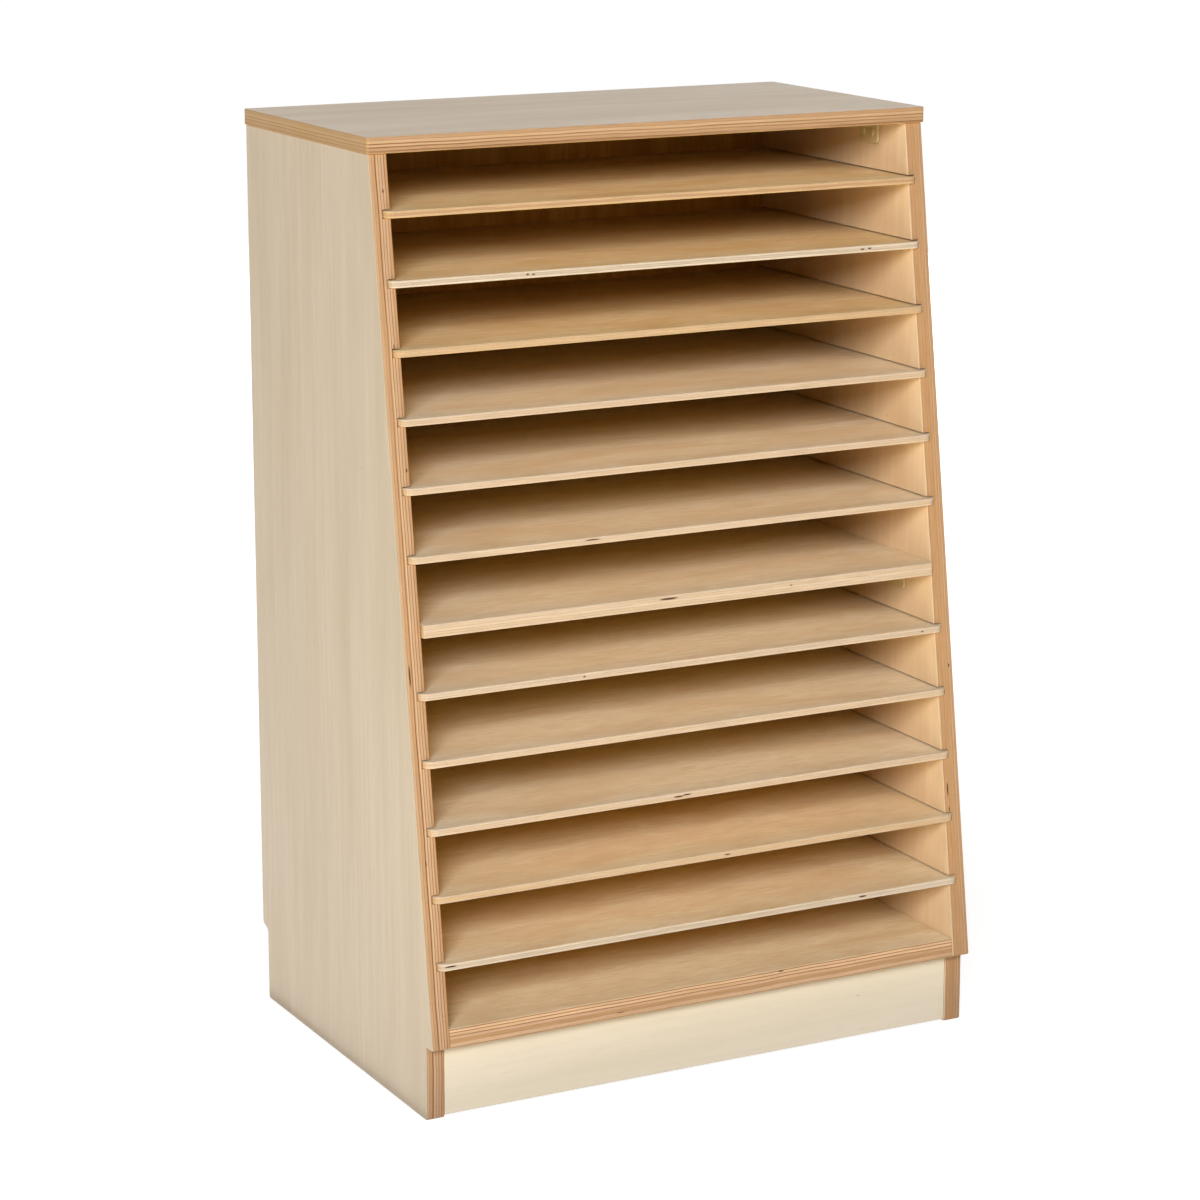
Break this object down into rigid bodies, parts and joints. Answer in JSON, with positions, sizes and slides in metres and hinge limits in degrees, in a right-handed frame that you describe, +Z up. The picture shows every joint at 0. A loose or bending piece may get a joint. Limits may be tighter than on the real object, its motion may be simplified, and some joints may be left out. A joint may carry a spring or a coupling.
{
  "type": "puzzle storage rack",
  "caption": "Free-standing plywood rack with a leaning front, whose thin shelves in open-fronted grooves hold puzzle trays lying flat.",
  "frame": {"origin": "on the floor under the middle of the rack's bounding box", "axes": "+X to the right seen from the front, +Y towards the back, +Z up; the open front faces -Y"},
  "size_m": [0.584, 0.3997, 0.89],
  "materials": {
    "side_ply": "clear matt lacquer on pale plywood",
    "top_ply": "clear matt lacquer on pale plywood",
    "bottom_ply": "clear matt lacquer on plywood",
    "back_ply": "plain plywood",
    "kick_ply": "clear matt lacquer on pale plywood",
    "shelf_ply": "clear matt lacquer on thin plywood",
    "fixed_shelf_ply": "clear matt lacquer on plywood",
    "connector_plastic": "moulded cream plastic"
  },
  "bodies": {
    "carcass": {"left_side_panel": "side_ply", "right_side_panel": "side_ply", "top_panel": "top_ply", "bottom_panel": "bottom_ply", "back_panel": "back_ply", "kick_board": "kick_ply", "fixed_shelf": "fixed_shelf_ply", "top_connector_left_front": "connector_plastic", "top_connector_left_rear": "connector_plastic", "top_connector_right_front": "connector_plastic", "top_connector_right_rear": "connector_plastic", "mid_connector_left_front": "connector_plastic", "mid_connector_left_rear": "connector_plastic", "mid_connector_right_front": "connector_plastic", "mid_connector_right_rear": "connector_plastic", "base_connector_left_front": "connector_plastic", "base_connector_left_rear": "connector_plastic", "base_connector_right_front": "connector_plastic", "base_connector_right_rear": "connector_plastic"},
    "upper_shelf_1": {"upper_shelf_1": "shelf_ply"},
    "upper_shelf_2": {"upper_shelf_2": "shelf_ply"},
    "upper_shelf_3": {"upper_shelf_3": "shelf_ply"},
    "upper_shelf_4": {"upper_shelf_4": "shelf_ply"},
    "upper_shelf_5": {"upper_shelf_5": "shelf_ply"},
    "upper_shelf_6": {"upper_shelf_6": "shelf_ply"},
    "lower_shelf_1": {"lower_shelf_1": "shelf_ply"},
    "lower_shelf_2": {"lower_shelf_2": "shelf_ply"},
    "lower_shelf_3": {"lower_shelf_3": "shelf_ply"},
    "lower_shelf_4": {"lower_shelf_4": "shelf_ply"},
    "lower_shelf_5": {"lower_shelf_5": "shelf_ply"}
  },
  "joints": [
    {"name": "upper_shelf_1_slide", "type": "slide", "parent": "carcass", "child": "upper_shelf_1", "axis": [0, -1, 0], "range_m": [0, 0.128]},
    {"name": "upper_shelf_2_slide", "type": "slide", "parent": "carcass", "child": "upper_shelf_2", "axis": [0, -1, 0], "range_m": [0, 0.132]},
    {"name": "upper_shelf_3_slide", "type": "slide", "parent": "carcass", "child": "upper_shelf_3", "axis": [0, -1, 0], "range_m": [0, 0.136]},
    {"name": "upper_shelf_4_slide", "type": "slide", "parent": "carcass", "child": "upper_shelf_4", "axis": [0, -1, 0], "range_m": [0, 0.14]},
    {"name": "upper_shelf_5_slide", "type": "slide", "parent": "carcass", "child": "upper_shelf_5", "axis": [0, -1, 0], "range_m": [0, 0.144]},
    {"name": "upper_shelf_6_slide", "type": "slide", "parent": "carcass", "child": "upper_shelf_6", "axis": [0, -1, 0], "range_m": [0, 0.148]},
    {"name": "lower_shelf_1_slide", "type": "slide", "parent": "carcass", "child": "lower_shelf_1", "axis": [0, -1, 0], "range_m": [0, 0.156]},
    {"name": "lower_shelf_2_slide", "type": "slide", "parent": "carcass", "child": "lower_shelf_2", "axis": [0, -1, 0], "range_m": [0, 0.16]},
    {"name": "lower_shelf_3_slide", "type": "slide", "parent": "carcass", "child": "lower_shelf_3", "axis": [0, -1, 0], "range_m": [0, 0.164]},
    {"name": "lower_shelf_4_slide", "type": "slide", "parent": "carcass", "child": "lower_shelf_4", "axis": [0, -1, 0], "range_m": [0, 0.168]},
    {"name": "lower_shelf_5_slide", "type": "slide", "parent": "carcass", "child": "lower_shelf_5", "axis": [0, -1, 0], "range_m": [0, 0.172]}
  ]
}
